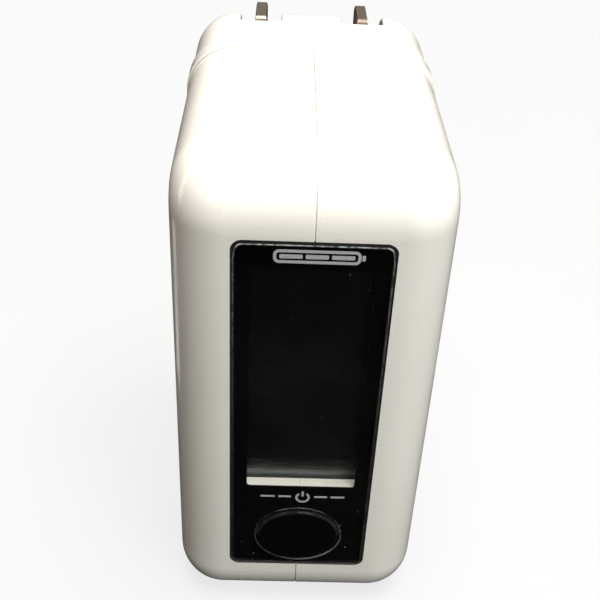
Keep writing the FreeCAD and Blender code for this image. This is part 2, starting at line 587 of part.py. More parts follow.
def transformer():
    y = POWER_BACK
    x0, x1, z0, z1 = -7.5, 5.5, 16.3, 29.3
    ya, yb = y + 3.2, y + 8.7
    xm, zm = (x0 + x1) / 2, (z0 + z1) / 2
    leg = box(x0, x1, ya, yb, zm - 1.7, zm + 1.7)
    frame = box(x0, x1, ya, yb, z0, z1).cut(box(x0 + 2.3, x1 - 2.3, ya - 1, yb + 1, z0 + 2.1, z1 - 2.1))
    parts["transformer_core"] = frame.fuse(leg).removeSplitter()
    coil = box(x0 + 3.1, x1 - 3.1, ya - 1.7, yb + 1.7, zm - 4.0, zm + 4.0)
    coil = coil.makeFillet(1.4, edges_along(coil, 0))
    inner = box(x0 - 1, x1 + 1, ya - 0.5, yb + 0.5, zm - 2.2, zm + 2.2)
    parts["transformer_coil"] = coil.cut(inner)
    flange = [box(a, a + 0.7, ya - 2.2, yb + 2.0, zm - 4.35, zm + 4.35) for a in (x0 + 2.35, x1 - 3.05)]
    sleeve = box(x0 + 2.35, x1 - 2.35, ya - 0.5, yb + 0.5, zm - 2.2, zm + 2.2)
    feet = [box(x0 + 2.35, x1 - 2.35, y, ya - 2.2, z - 1.0, z + 1.0) for z in (zm - 3.3, zm + 3.3)]
    leg_hole = box(x0 - 1, x1 + 1, ya - 0.02, yb + 0.02, zm - 1.72, zm + 1.72)
    parts["transformer_bobbin"] = union(flange + [sleeve] + feet).cut(leg_hole)


def usb_socket():
    """Type A socket, mouth down: folded shell with spring windows, insulator tongue and four contacts."""
    x, y0, y1, z1 = USB_HALF, USB_Y0, USB_Y0 + USB_T, USB_Z0 + USB_L
    w = USB_WALL
    shell = box(-x, x, y0, y1, USB_Z0, z1)
    shell = shell.makeFillet(0.6, edges_along(shell, 2))
    hollow = box(-x + w, x - w, y0 + w, y1 - w, USB_Z0 - 1, z1 - w)
    shell = shell.cut(hollow.makeFillet(0.35, edges_along(hollow, 2)))
    for xs in (-3, 3):
        shell = shell.cut(box(xs - 0.9, xs + 0.9, y1 - w - 0.1, y1 + 0.1, USB_Z0 + 3.5, USB_Z0 + 8.5))
    parts["usb_shell"] = shell
    g = w + CLEAR
    block_z = z1 - 5.0
    block = box(-x + g, x - g, y0 + g, y1 - g, block_z, z1 - g)
    block = block.makeFillet(0.4, edges_along(block, 2))
    t0 = y0 + w + 0.75
    t1 = t0 + TONGUE_T
    tongue = box(-TONGUE_HALF, TONGUE_HALF, t0, t1, TONGUE_Z0, block_z + 1)
    tip = [e for e in edges_along(tongue, 0) if e.BoundBox.ZMax < TONGUE_Z0 + 0.1]
    parts["usb_tongue"] = block.fuse(tongue.makeChamfer(0.4, tip)).removeSplitter()
    z0 = TONGUE_Z0 + 0.8
    strips = [box(px - 0.5, px + 0.5, t1, t1 + 0.18, z0, block_z) for px in (-3.5, -1.0, 1.0, 3.5)]
    parts["usb_contacts"] = Part.makeCompound(strips)


# ---------------------------------------------------------------- folding plug
def bevel(face_x, outward, tip):
    """Wedge that bevels one face of a blade towards its tip. outward is the way that face looks, -1 or 1."""
    over = 1.0
    slope_x = face_x - outward * BEVEL_IN * (BEVEL_H + over) / BEVEL_H
    y = PIVOT_Y - 5
    corners = [
        Vector(face_x, y, tip - BEVEL_H),
        Vector(face_x + outward, y, tip - BEVEL_H),
        Vector(face_x + outward, y, tip + over),
        Vector(slope_x, y, tip + over),
    ]
    outline = Part.makePolygon(corners + corners[:1])
    return Part.Face(outline).extrude(Vector(0, 10, 0))


def blade(side):
    """Flat blade pointing up from the pivot: bevelled tip, a hole near it, and a contact tang below."""
    xc = side * BLADE_PITCH / 2
    x0, x1 = xc - BLADE_T / 2, xc + BLADE_T / 2
    tip = PIVOT_Z + BLADE_REACH
    flat = box(x0, x1, PIVOT_Y - BLADE_W / 2, PIVOT_Y + BLADE_W / 2, PIVOT_Z + 1.2, tip)
    corners = [e for e in edges_along(flat, 0) if e.BoundBox.ZMin > tip - 1e-3]
    flat = flat.makeFillet(TIP_R, corners)
    flat = flat.cut(bevel(x0, -1, tip)).cut(bevel(x1, 1, tip))
    flat = flat.cut(cyl_x(PIVOT_Y, PIVOT_Z + BACK - PIVOT_Y + 11.9, 1.6, x0 - 1, x1 + 1))
    tang = box(x0, x1, PIVOT_Y - TANG_W / 2, PIVOT_Y + TANG_W / 2, PIVOT_Z - TANG_R - 1, PIVOT_Z + 2)
    tang = tang.common(cyl_x(PIVOT_Y, PIVOT_Z, TANG_R, x0 - 1, x1 + 1))
    return flat.fuse(tang).removeSplitter()


def plug_pivot(blades):
    """Moulded shaft with a hub round each blade, and two flats in the middle for the detent spring."""
    shaft = cyl_x(PIVOT_Y, PIVOT_Z, SHAFT_R, -SHAFT_HALF, SHAFT_HALF)
    turned = [shaft.makeChamfer(0.3, round_edges(shaft))]
    for xc in (-BLADE_PITCH / 2, BLADE_PITCH / 2):
        hub = cyl_x(PIVOT_Y, PIVOT_Z, HUB_R, xc - HUB_W / 2, xc + HUB_W / 2)
        turned.append(hub.makeFillet(0.25, round_edges(hub)))
    pivot = union(turned)
    flat = SHAFT_R - 0.25
    pivot = pivot.cut(box(-1.9, 1.9, PIVOT_Y - 5, PIVOT_Y - flat, PIVOT_Z - 5, PIVOT_Z + 5))
    pivot = pivot.cut(box(-1.9, 1.9, PIVOT_Y - 5, PIVOT_Y + 5, PIVOT_Z - 5, PIVOT_Z - flat))
    for b in blades:
        pivot = pivot.cut(b)
    return pivot


def plug_retainer():
    """Cross-shaped bar over the open side of the pivot seats, with fingers that close them."""
    y0, y1 = RETAINER_Y, RETAINER_Y + RETAINER_T
    bars = [
        plate(-11.4, 11.4, y0, y1, PIVOT_Z - 4.2, PIVOT_Z + 4.2, 1.0),
        plate(-2.4, 2.4, y0, y1, PIVOT_Z - 10.8, PIVOT_Z + 10.8, 1.5),
        box(-1.8, 1.8, y1 - 0.5, LEAF_Y, PIVOT_Z + 3.2, SPRING_TOP),
    ]
    w = TROUGH_WALL / 2 - CLEAR
    offset = (SLOT_W + TROUGH_WALL) / 2
    for xc in (-BLADE_PITCH / 2, BLADE_PITCH / 2):
        for xm in (xc - offset, xc + offset):
            bars.append(box(xm - w, xm + w, y1 - 0.5, PIVOT_Y, PIVOT_Z - SHAFT_R, PIVOT_Z + SHAFT_R))
    retainer = union(bars).cut(cyl_x(PIVOT_Y, PIVOT_Z, SHAFT_R + CLEAR, -20, 20))
    for xc in (-BLADE_PITCH / 2, BLADE_PITCH / 2):
        retainer = retainer.cut(box(xc - 2.15, xc + 2.15, y0 - 1, y1 + 1, PIVOT_Z - 2.7, PIVOT_Z + 2.7))
    for x, z in RETAINER_POSTS:
        retainer = retainer.cut(cyl_y(x, z, PILOT_R + 0.25, y0 - 1, y1 + 1))
    return retainer


def detent_spring():
    """Leaf that lies along the flat of the shaft, with its toe turned away from it."""
    leaf = box(-1.5, 1.5, LEAF_Y, LEAF_Y + 0.3, PIVOT_Z - 3.4, SPRING_TOP - 0.2)
    toe = box(-1.5, 1.5, LEAF_Y - 0.9, LEAF_Y + 0.3, PIVOT_Z - 3.7, PIVOT_Z - 3.4)
    return leaf.fuse(toe).removeSplitter()


def folding_plug():
    parts["left_blade"] = blade(-1)
    parts["right_blade"] = blade(1)
    parts["plug_pivot"] = plug_pivot([parts["left_blade"], parts["right_blade"]])
    parts["plug_retainer"] = plug_retainer()
    heads = [screw(x, RETAINER_Y, z, 6.5, PILOT_R, 1.8, 1.2, forward=False) for x, z in RETAINER_POSTS]
    parts["retainer_screws"] = Part.makeCompound(heads)
    parts["detent_spring"] = detent_spring()
    parts["plug_contacts"] = Part.makeCompound([plug_contact(-1), plug_contact(1)])
    parts["mains_leads"] = Part.makeCompound([mains_lead(-1), mains_lead(1)])


def plug_contact(side):
    """Bent spring strip clipped over the retainer, with its pad just behind the blade tang."""
    xc = side * BLADE_PITCH / 2
    x0, x1 = xc - 1.6, xc + 1.6
    pad_y = PIVOT_Y - TANG_R - 0.1
    foot_y = RETAINER_Y - 0.02
    t, reach = 0.3, 2.6
    strips = [box(x0, x1, pad_y - t, pad_y, PIVOT_Z - reach, PIVOT_Z + reach)]
    for k in (-1, 1):
        za, zb = sorted((PIVOT_Z + k * reach, PIVOT_Z + k * (reach - t)))
        strips.append(box(x0, x1, foot_y - t, pad_y, za, zb))
        za, zb = sorted((PIVOT_Z + k * (reach - t), PIVOT_Z + k * 4.0))
        strips.append(box(x0, x1, foot_y - t, foot_y, za, zb))
    return union(strips)


def mains_lead(side):
    """Insulated wire from the foot of a contact strip to the power board."""
    x = side * BLADE_PITCH / 2
    y0, y1, z = RETAINER_Y - 0.32, POWER_BACK, PIVOT_Z - 3.4
    path = [(x, y0, z), (x, y0 - 1.6, z), (x - side, y1 + 1.6, z - 3.6), (x - side, y1, z - 3.6)]
    return wire(path, 0.6, 0.9)


# ---------------------------------------------------------------- what ties it together
def harness():
    """Three wires from the power board over the cells to the control board."""
    start, end, z = POWER_Y, CONTROL_Y + BOARD_T, 55.4
    runs = []
    for i in range(3):
        x = -1.3 + 1.3 * i
        up = [(x, start, z), (x, start - 2.2, z), (x, start - 3.6, z + 2.0)]
        down = [(x, end + 3.6, z + 2.0), (x, end + 2.2, z), (x, end, z)]
        runs.append(wire(up + down, 0.5, 1.0))
    parts["board_harness"] = Part.makeCompound(runs)


def case_screws():
    seat = JOINT_Y + 2.0
    heads = [screw(x, seat, z, 9.5, PILOT_R, 1.9, 1.3) for x, z in CASE_SCREWS]
    parts["case_screws"] = Part.makeCompound(heads)


def main():
    front_shells()
    rear_cover()
    front_panel()
    power_button()
    switch()
    display()
    control_board()
    battery()
    power_board()
    transformer()
    usb_socket()
    folding_plug()
    harness()
    case_screws()
    parts["chip_pins"] = Part.makeCompound(chip_pins)
    os.makedirs("parts", exist_ok=True)
    for name, shape in parts.items():
        shape.exportStep(f"parts/{name}.step")


main()
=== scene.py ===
"""Studio scene of a pocket power bank with a folding wall plug, built around its CAD frame. Metres."""

import math

import bmesh
import bpy
from mathutils import Matrix, Vector


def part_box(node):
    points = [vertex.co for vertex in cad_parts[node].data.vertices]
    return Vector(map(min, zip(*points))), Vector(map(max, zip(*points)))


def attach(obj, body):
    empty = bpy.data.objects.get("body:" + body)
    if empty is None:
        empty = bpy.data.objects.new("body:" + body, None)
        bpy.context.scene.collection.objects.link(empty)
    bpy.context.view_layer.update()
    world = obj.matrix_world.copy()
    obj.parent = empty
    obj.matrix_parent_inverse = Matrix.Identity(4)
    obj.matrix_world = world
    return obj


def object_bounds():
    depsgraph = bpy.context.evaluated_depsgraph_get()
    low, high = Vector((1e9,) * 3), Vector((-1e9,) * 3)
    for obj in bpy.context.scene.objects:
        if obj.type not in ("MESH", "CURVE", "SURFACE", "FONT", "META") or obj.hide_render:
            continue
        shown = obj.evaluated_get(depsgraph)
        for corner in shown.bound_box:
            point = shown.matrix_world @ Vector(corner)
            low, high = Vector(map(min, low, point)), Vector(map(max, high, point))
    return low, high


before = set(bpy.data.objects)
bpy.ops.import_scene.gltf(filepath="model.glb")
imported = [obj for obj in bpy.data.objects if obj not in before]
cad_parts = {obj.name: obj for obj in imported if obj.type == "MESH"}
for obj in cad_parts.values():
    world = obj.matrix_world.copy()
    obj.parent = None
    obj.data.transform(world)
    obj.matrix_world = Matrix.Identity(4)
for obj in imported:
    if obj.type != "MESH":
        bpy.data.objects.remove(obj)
cad_low, cad_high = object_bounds()

MM = 0.001
PANEL_CORNER = 1.1 * MM  # radius of the window panel's corners
BUTTON_HOLE = (5.07 * MM, 4.20 * MM)  # half width and half height of the oval hole in the panel


# ---------------------------------------------------------------- material building blocks
class Shader:
    """A node material with a Principled surface. Textures use the frame's own coordinates, in metres."""

    def __init__(self, name):
        self.material = bpy.data.materials.new(name)
        self.material.use_nodes = True
        self.tree = self.material.node_tree
        self.surface = self.tree.nodes["Principled BSDF"]
        self.output = self.tree.nodes["Material Output"]
        self.place = self.tree.nodes.new("ShaderNodeTexCoord").outputs["Object"]

    def node(self, kind, inputs=(), **settings):
        """Adds a node, with its settings and with its inputs fed by name or number."""
        made = self.tree.nodes.new(kind)
        for key, value in settings.items():
            setattr(made, key, value)
        for key, value in dict(inputs).items():
            self.feed(made.inputs[key], value)
        return made

    def feed(self, socket, value):
        """Sets a socket to a number or a colour, or links another node's output to it."""
        if isinstance(value, bpy.types.NodeSocket):
            self.tree.links.new(value, socket)
        elif isinstance(value, tuple) and len(value) == 3 and socket.type == "RGBA":
            socket.default_value = (*value, 1.0)
        else:
            socket.default_value = value

    def set(self, **values):
        """Feeds the Principled surface: base_color=..., roughness=..., and so on."""
        for key, value in values.items():
            self.feed(self.surface.inputs[key.replace("_", " ").title().replace("Ior", "IOR")], value)

    def noise(self, size, detail=3.0, squeeze=None, distortion=0.0):
        """Noise from 0 to 1 with features about size metres across, longer along axes of squeeze below 1."""
        vector = self.place
        if squeeze:
            vector = self.node("ShaderNodeMapping", {"Vector": vector, "Scale": squeeze}).outputs[0]
        made = self.node(
            "ShaderNodeTexNoise",
            {"Vector": vector, "Scale": 1 / size, "Detail": detail, "Distortion": distortion},
        )
        return made.outputs[0]

    def cells(self, size):
        """Distance to the nearest of points scattered about size metres apart, as a share of size."""
        made = self.node("ShaderNodeTexVoronoi", {"Vector": self.place, "Scale": 1 / size})
        return made.outputs["Distance"]

    def bands(self, size, axis="X", distortion=0.0):
        """Soft bands from 0 to 1 that follow each other along one axis, about two sizes apart."""
        made = self.node(
            "ShaderNodeTexWave",
            {"Vector": self.place, "Scale": 1 / size / math.tau, "Distortion": distortion},
            bands_direction=axis,
        )
        return made.outputs["Fac"]

    def ramp(self, value, low, high, to_low=0.0, to_high=1.0):
        """Moves a value from the span low..high to the span to_low..to_high, and holds it at the ends."""
        made = self.node(
            "ShaderNodeMapRange",
            {"Value": value, "From Min": low, "From Max": high, "To Min": to_low, "To Max": to_high},
        )
        return made.outputs[0]

    def add(self, a, b):
        return self.math("ADD", a, b)

    def times(self, a, b):
        return self.math("MULTIPLY", a, b)

    def math(self, operation, a, b=0.0):
        made = self.node("ShaderNodeMath", operation=operation)
        self.feed(made.inputs[0], a)
        self.feed(made.inputs[1], b)
        return made.outputs[0]

    def blend(self, share, a, b):
        """Colour a where share is 0 and colour b where it is 1."""
        made = self.node("ShaderNodeMix", data_type="RGBA")
        self.feed(made.inputs[0], share)
        self.feed(made.inputs[6], a)
        self.feed(made.inputs[7], b)
        return made.outputs[2]

    def bump(self, height, depth, normal=None):
        """Bump of about depth metres from a 0 to 1 height."""
        made = self.node("ShaderNodeBump", {"Height": height, "Distance": depth, "Strength": 1.0})
        if normal:
            self.feed(made.inputs["Normal"], normal)
        return made.outputs[0]

    def along(self, axis, vector=None):
        """One component of a vector, or of the place on the object."""
        return self.node("ShaderNodeSeparateXYZ", {"Vector": vector or self.place}).outputs[axis]

    def normal(self, axis):
        """One component of the surface's normal."""
        return self.along(axis, self.node("ShaderNodeNewGeometry").outputs["Normal"])

    def facing(self, axis):
        """How far the surface turns away from one axis: 0 when square to it and 1 when along it."""
        return self.math("SUBTRACT", 1.0, self.math("ABSOLUTE", self.normal(axis)))

    def edges(self, radius):
        """1 along edges sharper than radius, fading to 0 on flat stretches."""
        soft = self.node("ShaderNodeBevel", {"Radius": radius}, samples=4).outputs[0]
        true = self.node("ShaderNodeNewGeometry").outputs["Normal"]
        agree = self.node("ShaderNodeVectorMath", {0: soft, 1: true}, operation="DOT_PRODUCT")
        return self.ramp(agree.outputs["Value"], 0.995, 0.80)

    def creases(self, distance):
        """1 deep in gaps narrower than distance, 0 in the open."""
        open_share = self.node("ShaderNodeAmbientOcclusion", {"Distance": distance}, samples=6)
        return self.ramp(open_share.outputs["AO"], 0.75, 0.25)


def scratches(shader, turn, width, length, share):
    """Straight hairlines, 0 to 1, in patches that grow with share. turn leans them away from Z."""
    vector = shader.node(
        "ShaderNodeMapping",
        {"Vector": shader.place, "Rotation": turn, "Scale": (1.0, 1.0, length / width)},
        vector_type="TEXTURE",
    ).outputs[0]
    lines = shader.node("ShaderNodeTexNoise", {"Vector": vector, "Scale": 1 / width, "Detail": 0.0})
    patches = shader.ramp(shader.noise(9 * MM, 3.0), 0.62 - share / 2, 0.66)
    return shader.times(shader.ramp(lines.outputs[0], 0.68, 0.72), patches)


# ---------------------------------------------------------------- outside materials
def shell_plastic():
    """Glossy warm-white moulded plastic with faint flow marks and handling scuffs, painted shade with some
    grime in its seams, and painted shade in the gap round the window.
    """
    s = Shader("shell_plastic")
    clean = s.blend(s.noise(14 * MM, 2.0), (0.83, 0.79, 0.72), (0.78, 0.735, 0.66))
    specks = s.ramp(s.noise(0.35 * MM, 1.0), 0.74, 0.80, 0.0, 0.35)
    marked = s.blend(specks, clean, (0.50, 0.45, 0.38))
    # painted shade with some grime: the seams darken towards (0.20, 0.175, 0.145)
    seam_shaded = s.blend(seam_shade_and_grime(s), marked, (0.20, 0.175, 0.145))
    # painted shade: the gap round the window panel darkens towards (0.06, 0.055, 0.05)
    gap_shaded = s.blend(pocket_gap_shade(s), seam_shaded, (0.06, 0.055, 0.05))
    hairlines = s.add(
        scratches(s, (0.35, 0.2, 0.0), 0.05 * MM, 5 * MM, 0.3),
        scratches(s, (1.3, 0.0, 0.3), 0.05 * MM, 6 * MM, 0.3),
    )
    s.set(base_color=s.blend(s.times(hairlines, 0.12), gap_shaded, (0.45, 0.42, 0.37)))
    rubbed = s.ramp(s.noise(6 * MM, 4.0), 0.35, 0.75, 0.13, 0.24)
    s.set(roughness=s.add(rubbed, s.times(hairlines, 0.25)), ior=1.50)
    peel = s.bump(s.noise(1.1 * MM, 2.0), 0.0030 * MM)
    s.set(normal=s.bump(hairlines, -0.002 * MM, peel))
    s.set(coat_weight=0.15, coat_roughness=0.06)
    return s.material


def seam_shade_and_grime(shader):
    """Painted shade with some grime in the narrow seams, where they lie level on the top and near the foot
    of the case. 0 to 1.
    """
    level = shader.ramp(shader.normal("Z"), 0.92, 0.99)
    low_down = shader.ramp(shader.along("Z"), 10 * MM, 45 * MM, 0.35, 0.0)
    patchy = shader.ramp(shader.noise(3 * MM, 3.0), 0.25, 0.75, 0.5, 1.0)
    settled = shader.math("MAXIMUM", level, low_down)
    # darkest deep in narrow seams, where shade falls
    return shader.times(shader.times(shader.creases(0.3 * MM), patchy), settled)


def pocket_gap_shade(shader):
    """Painted shade in the narrow gap round the window panel, down to its floor. 0 to 1."""
    inset = panel_inset(shader)
    in_gap = shader.times(
        shader.ramp(inset, -0.12 * MM, -0.08 * MM),
        shader.ramp(inset, 0.4 * MM, 0.2 * MM),
    )
    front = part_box("window_panel")[0].y
    return shader.times(in_gap, shader.ramp(shader.along("Y"), front + 2.0 * MM, front + 1.5 * MM))


def panel_inset(shader):
    """Distance inward from the window panel's rounded outline, measured in the plane of the window."""
    low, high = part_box("window_panel")
    flat = []
    for axis, start, end in (("X", low.x, high.x), ("Z", low.z, high.z)):
        away = shader.math("ABSOLUTE", shader.math("SUBTRACT", shader.along(axis), (start + end) / 2))
        flat.append(shader.math("SUBTRACT", away, (end - start) / 2 - PANEL_CORNER))
    outside = [shader.math("POWER", shader.math("MAXIMUM", past, 0.0), 2.0) for past in flat]
    round_part = shader.math("SQRT", shader.add(*outside))
    straight_part = shader.math("MINIMUM", shader.math("MAXIMUM", *flat), 0.0)
    return shader.math("SUBTRACT", PANEL_CORNER, shader.add(round_part, straight_part))


def rim_highlight(shader):
    """Painted highlight: a chipped bright line along the inner edge of the panel's bevel, strongest at its
    top. 0 to 1.
    """
    low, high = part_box("window_panel")
    height = shader.along("Z")
    outward = shader.ramp(height, high.z - 2.2 * MM, high.z - 0.8 * MM, 0.20 * MM, 0.0)
    inset = shader.add(panel_inset(shader), outward)
    line = shader.times(shader.ramp(inset, 0.28 * MM, 0.34 * MM), shader.ramp(inset, 0.48 * MM, 0.40 * MM))
    top = shader.ramp(height, high.z - 0.9 * MM, high.z - 0.6 * MM, 0.0, 0.65)
    sides = shader.ramp(height, low.z + 12 * MM, high.z - 1.0 * MM, 0.0, 0.28)
    broken = shader.ramp(shader.noise(0.9 * MM, 4.0, (1.0, 1.0, 1.4), 0.8), 0.38, 0.62, 0.15, 1.0)
    return shader.times(shader.times(line, shader.add(top, sides)), broken)


def button_ring_highlight(shader):
    """Painted highlight on the edge of the oval hole round the button, brightest at its top and lower right.
    0 to 1.
    """
    low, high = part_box("power_button")
    x = shader.math("SUBTRACT", shader.along("X"), (low.x + high.x) / 2)
    z = shader.math("SUBTRACT", shader.along("Z"), (low.z + high.z) / 2)
    square = shader.add(*(
        shader.math("POWER", shader.math("DIVIDE", shader.math("ABSOLUTE", part), half), 2.0)
        for part, half in zip((x, z), BUTTON_HOLE)
    ))
    beyond = shader.times(shader.math("SUBTRACT", shader.math("SQRT", square), 1.0), sum(BUTTON_HOLE) / 2)
    line = shader.ramp(beyond, 0.17 * MM, 0.06 * MM)
    # painted highlight, stronger at the top and lower right where light falls
    top = shader.ramp(z, 3.3 * MM, 4.3 * MM, 0.0, 0.4)
    right = shader.ramp(shader.math("SUBTRACT", x, z), 2.0 * MM, 6.0 * MM, 0.0, 0.25)
    broken = shader.ramp(shader.noise(1.2 * MM, 4.0, distortion=0.6), 0.35, 0.65, 0.35, 1.0)
    return shader.times(shader.times(line, shader.add(0.05, shader.add(top, right))), broken)


def clear_acrylic():
    """Polished clear panel with a rubbed bevel, inked side walls, dust, hairline scratches, and painted
    highlights along the bevel's inner edge and round the button hole.
    """
    s = Shader("clear_acrylic")
    bevel = s.ramp(s.facing("Y"), 0.02, 0.06)
    frost = s.times(bevel, s.ramp(s.noise(1.0 * MM, 4.0), 0.35, 0.7, 0.01, 0.05))
    dust = s.ramp(s.cells(1.7 * MM), 0.055, 0.035)
    dust = s.times(dust, s.ramp(s.noise(5 * MM, 2.0), 0.46, 0.54, 0.0, 0.40))
    hairlines = scratches(s, (0.3, 0.5, 0.0), 0.035 * MM, 2.5 * MM, 0.35)
    smudges = s.ramp(s.noise(3.5 * MM, 4.0, distortion=0.5), 0.60, 0.85, 0.0, 0.0015)
    # painted highlights on the bevel's inner edge and round the button hole, shown in the pale diffuse
    # colour
    painted_edge_highlights = s.math("MAXIMUM", s.times(rim_highlight(s), 0.9), button_ring_highlight(s))
    marks = s.math("MAXIMUM", painted_edge_highlights, s.add(dust, s.times(hairlines, 0.03)))
    cover = s.add(s.math("MAXIMUM", frost, marks), smudges)
    s.set(base_color=(0.97, 0.98, 0.975), transmission_weight=1.0, ior=1.49)
    s.set(roughness=s.ramp(s.noise(4 * MM, 4.0), 0.3, 0.8, 0.01, 0.04))
    s.set(normal=s.bump(s.noise(7 * MM, 1.0), 0.004 * MM))
    pale = s.node("ShaderNodeBsdfDiffuse", {"Color": (0.62, 0.62, 0.60), "Roughness": 0.6}).outputs[0]
    face = s.node("ShaderNodeMixShader", {0: cover, 1: s.surface.outputs[0], 2: pale}).outputs[0]
    inked = s.node("ShaderNodeBsdfDiffuse", {"Color": (0.004, 0.004, 0.004), "Roughness": 0.6}).outputs[0]
    wall = s.ramp(s.facing("Y"), 0.3, 0.6)
    solid = s.node("ShaderNodeMixShader", {0: wall, 1: face, 2: inked}).outputs[0]
    through = s.node("ShaderNodeBsdfTransparent", {"Color": (0.85, 0.86, 0.85)}).outputs[0]
    shadow = s.node("ShaderNodeLightPath").outputs["Is Shadow Ray"]
    mixed = s.node("ShaderNodeMixShader", {0: shadow, 1: solid, 2: through}).outputs[0]
    s.feed(s.output.inputs["Surface"], mixed)
    return s.material


def printed_black():
    """Screen-printed black border under the panel."""
    s = Shader("printed_black")
    s.set(base_color=s.blend(s.noise(0.25 * MM, 3.0), (0.0008, 0.0008, 0.0008), (0.0020, 0.0020, 0.0020)))
    s.set(roughness=s.ramp(s.noise(1.0 * MM, 2.0), 0.3, 0.7, 0.45, 0.6))
    s.set(normal=s.bump(s.noise(0.12 * MM, 2.0), 0.001 * MM))
    return s.material


def button_plastic():
    """Gloss black cap, with a rim rubbed a little paler and fine fingertip scratches."""
    s = Shader("button_plastic")
    rim = s.ramp(s.facing("Y"), 0.03, 0.35)
    worn = s.times(rim, s.ramp(s.noise(1.2 * MM, 4.0), 0.35, 0.70, 0.1, 0.9))
    s.set(base_color=s.blend(worn, (0.0018, 0.0018, 0.0020), (0.035, 0.035, 0.037)))
    swirl = s.ramp(s.noise(2.2 * MM, 4.0, distortion=2.0), 0.3, 0.8, 0.07, 0.17)
    s.set(roughness=s.add(swirl, s.times(worn, 0.15)), ior=1.5)
    s.set(normal=s.bump(s.noise(0.6 * MM, 3.0), 0.0015 * MM))
    return s.material


def sill_glow(shader):
    """Light from the sill of the window on the foot of the display, in fine level streaks. 0 to 1."""
    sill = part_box("display_front_glass")[0].z - 1.4 * MM
    streaks = shader.noise(0.16 * MM, 3.0, (0.03, 1.0, 1.0))
    fade = shader.ramp(shader.along("Z"), sill + 3.3 * MM, sill)
    bands = shader.ramp(shader.bands(0.62 * MM, "Z", 1.5), 0.0, 1.0, 0.6, 1.0)
    fade = shader.times(shader.math("POWER", fade, 1.3), bands)
    return shader.times(fade, shader.ramp(streaks, 0.35, 0.65, 0.6, 1.0))


def display_glass(name, glow):
    """Unlit display: dark grey-green polariser with faint upright segment lines, lighter at its foot with a
    painted reflection of the lit sill.
    """
    s = Shader(name)
    lines = s.ramp(s.bands(0.055 * MM, "X"), 0.2, 0.8)
    tint = s.blend(lines, (0.0003, 0.0005, 0.0004), (0.0008, 0.0011, 0.0010))
    dark = s.blend(s.ramp(s.noise(6 * MM, 3.0), 0.3, 0.8), tint, (0.0009, 0.0012, 0.0011))
    # painted reflection of the lit sill, blended in at the foot of the display
    s.set(base_color=s.blend(sill_glow(s), dark, glow))
    s.set(roughness=s.ramp(s.noise(3 * MM, 3.0), 0.3, 0.7, 0.10, 0.20), ior=1.52)
    s.set(normal=s.bump(s.noise(1.5 * MM, 2.0), 0.001 * MM))
    return s.material


def ink():
    """Matte pale grey pad-printed ink with slightly uneven cover."""
    s = Shader("ink")
    thin = s.ramp(s.noise(0.18 * MM, 3.0), 0.45, 0.75)
    s.set(base_color=s.blend(thin, (0.42, 0.42, 0.42), (0.27, 0.27, 0.275)))
    s.set(roughness=s.ramp(s.noise(0.4 * MM, 2.0), 0.3, 0.7, 0.5, 0.7))
    s.set(normal=s.bump(s.noise(0.08 * MM, 2.0), 0.003 * MM))
    return s.material


def blade_metal():
    """Nickel-plated brass blades: rolled grain along their length, tarnish, brassy worn edges, and a dark
    brown plate colour that holds a painted reflection of brown surroundings.
    """
    s = Shader("blade_metal")
    grain = s.noise(0.15 * MM, 3.0, (1.0, 1.0, 0.06))
    tarnish = s.ramp(s.noise(2.6 * MM, 5.0), 0.35, 0.70)
    # brown plate colours: tarnish plus a painted reflection of brown surroundings
    plate_with_reflection = s.blend(tarnish, (0.26, 0.215, 0.175), (0.17, 0.13, 0.10))
    s.set(base_color=s.blend(s.edges(0.25 * MM), plate_with_reflection, (0.30, 0.22, 0.14)))
    s.set(metallic=0.85)
    s.set(roughness=s.add(s.ramp(grain, 0.3, 0.7, 0.34, 0.48), s.times(tarnish, 0.12)))
    s.set(normal=s.bump(grain, 0.006 * MM))
    return s.material


def pivot_plastic():
    """Satin black shaft of the plug, with a fine moulded texture."""
    s = Shader("pivot_plastic")
    s.set(base_color=s.blend(s.noise(0.9 * MM, 4.0), (0.018, 0.018, 0.018), (0.035, 0.034, 0.033)))
    s.set(roughness=s.ramp(s.noise(0.6 * MM, 3.0), 0.3, 0.7, 0.35, 0.55))
    s.set(normal=s.bump(s.noise(0.22 * MM, 2.0), 0.008 * MM))
    return s.material


# ---------------------------------------------------------------- inside materials
def metal(name, bright, dull, rough, squeeze, width=0.12):
    """Metal with dull patches and a grain of width mm, longer along axes of squeeze below 1."""
    s = Shader(name)
    lines = s.noise(width * MM, 3.0, squeeze)
    patches = s.ramp(s.noise(1.8 * MM, 4.0), 0.35, 0.75)
    s.set(base_color=s.blend(patches, bright, dull), metallic=1.0)
    brushed = s.ramp(lines, 0.3, 0.7, rough - 0.06, rough + 0.06)
    s.set(roughness=s.add(brushed, s.times(patches, 0.12)))
    s.set(normal=s.bump(lines, 0.004 * MM))
    return s.material


def speckled(name, colour, fleck, rough, size=0.25):
    """Moulded, fired or pressed stuff: flecks of size mm with a matching bump, and soft colour drift."""
    s = Shader(name)
    fine = s.noise(size * MM, 4.0)
    drift = s.blend(s.noise(5 * MM, 2.0), colour, tuple(0.82 * c for c in colour))
    s.set(base_color=s.blend(s.ramp(fine, 0.52, 0.68), drift, fleck))
    s.set(roughness=s.ramp(fine, 0.3, 0.7, rough - 0.08, rough + 0.08))
    s.set(normal=s.bump(fine, 0.006 * MM))
    return s.material


